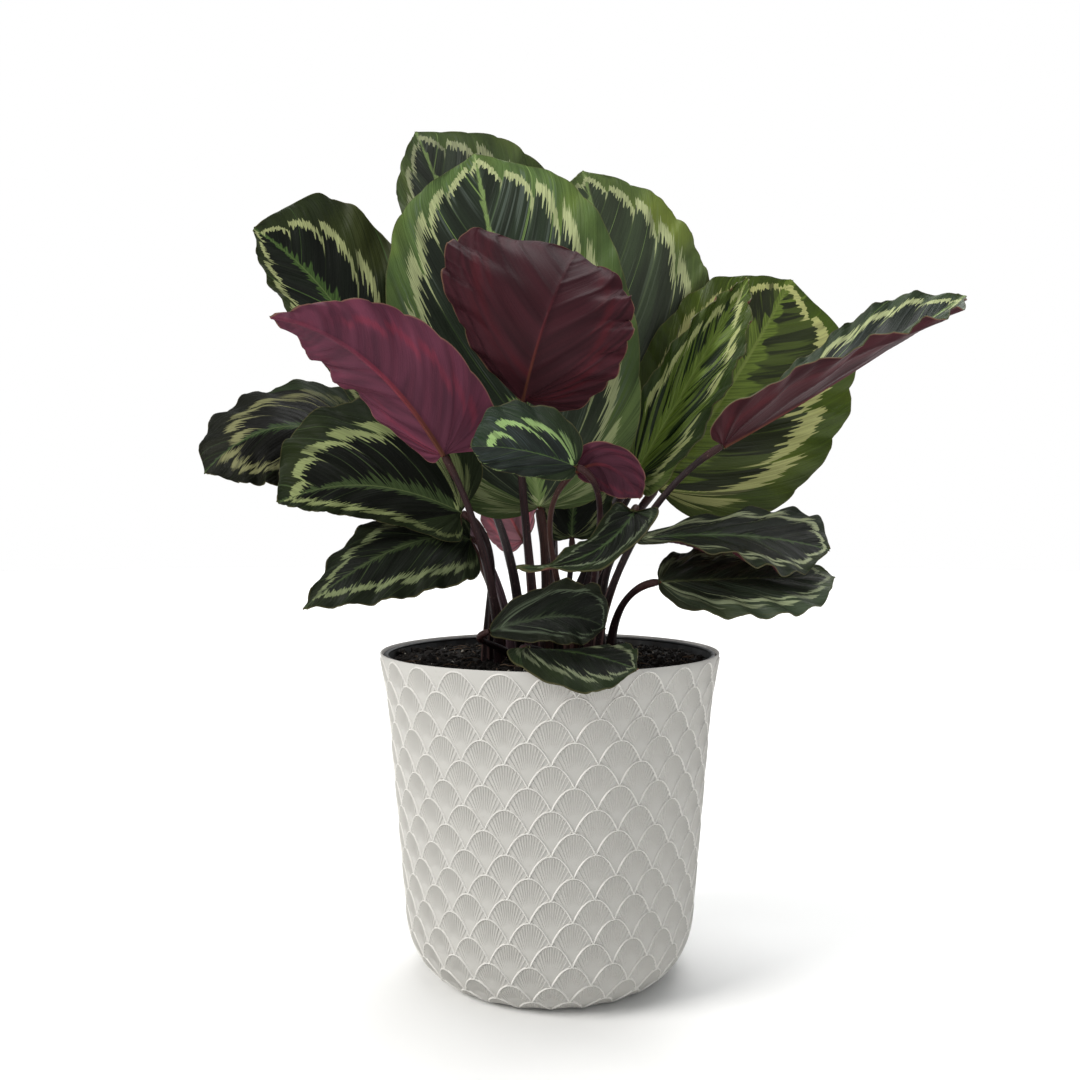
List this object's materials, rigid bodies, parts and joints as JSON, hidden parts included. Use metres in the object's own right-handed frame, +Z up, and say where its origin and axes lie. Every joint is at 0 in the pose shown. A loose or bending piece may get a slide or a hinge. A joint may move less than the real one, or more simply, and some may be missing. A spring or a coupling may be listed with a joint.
{
  "type": "potted calathea",
  "caption": "House plant with broad patterned leaves, burgundy below, on slim stems in a filled grow pot inside a pale pot with a raised pattern of fans.",
  "frame": {"origin": "centre of the decorative pot's flat foot", "axes": "+Z up along the pot's axis, -Y towards the side that the picture shows, +X to the picture's right"},
  "size_m": [0.4626, 0.3121, 0.5227],
  "materials": {
    "pale_plastic": "matte",
    "black_plastic": "satin",
    "potting_soil": "matte",
    "leaf_blade": "satin",
    "leaf_stem": "satin"
  },
  "bodies": {
    "root": {"decorative_pot": "pale_plastic", "grow_pot": "black_plastic", "soil": "potting_soil", "blade_top_back": "leaf_blade", "blade_large_middle": "leaf_blade", "blade_upper_right": "leaf_blade", "blade_middle_burgundy": "leaf_blade", "blade_left_burgundy": "leaf_blade", "blade_upper_left": "leaf_blade", "blade_far_left": "leaf_blade", "blade_left": "leaf_blade", "blade_lower_left": "leaf_blade", "blade_small_round": "leaf_blade", "blade_small_burgundy": "leaf_blade", "blade_s_shaped": "leaf_blade", "blade_striped": "leaf_blade", "blade_big_right": "leaf_blade", "blade_long_folded": "leaf_blade", "blade_lower_right_upper": "leaf_blade", "blade_lower_right_lower": "leaf_blade", "blade_front_low": "leaf_blade", "blade_over_the_rim": "leaf_blade", "blade_low_back": "leaf_blade", "blade_behind_stems": "leaf_blade", "blade_back_left": "leaf_blade", "blade_back_right": "leaf_blade", "blade_back_middle": "leaf_blade", "stem_top_back": "leaf_stem", "stem_large_middle": "leaf_stem", "stem_upper_right": "leaf_stem", "stem_middle_burgundy": "leaf_stem", "stem_left_burgundy": "leaf_stem", "stem_upper_left": "leaf_stem", "stem_far_left": "leaf_stem", "stem_left": "leaf_stem", "stem_lower_left": "leaf_stem", "stem_small_round": "leaf_stem", "stem_small_burgundy": "leaf_stem", "stem_s_shaped": "leaf_stem", "stem_striped": "leaf_stem", "stem_big_right": "leaf_stem", "stem_long_folded": "leaf_stem", "stem_lower_right_upper": "leaf_stem", "stem_lower_right_lower": "leaf_stem", "stem_front_low": "leaf_stem", "stem_over_the_rim": "leaf_stem", "stem_low_back": "leaf_stem", "stem_behind_stems": "leaf_stem", "stem_back_left": "leaf_stem", "stem_back_right": "leaf_stem", "stem_back_middle": "leaf_stem"}
  },
  "joints": []
}
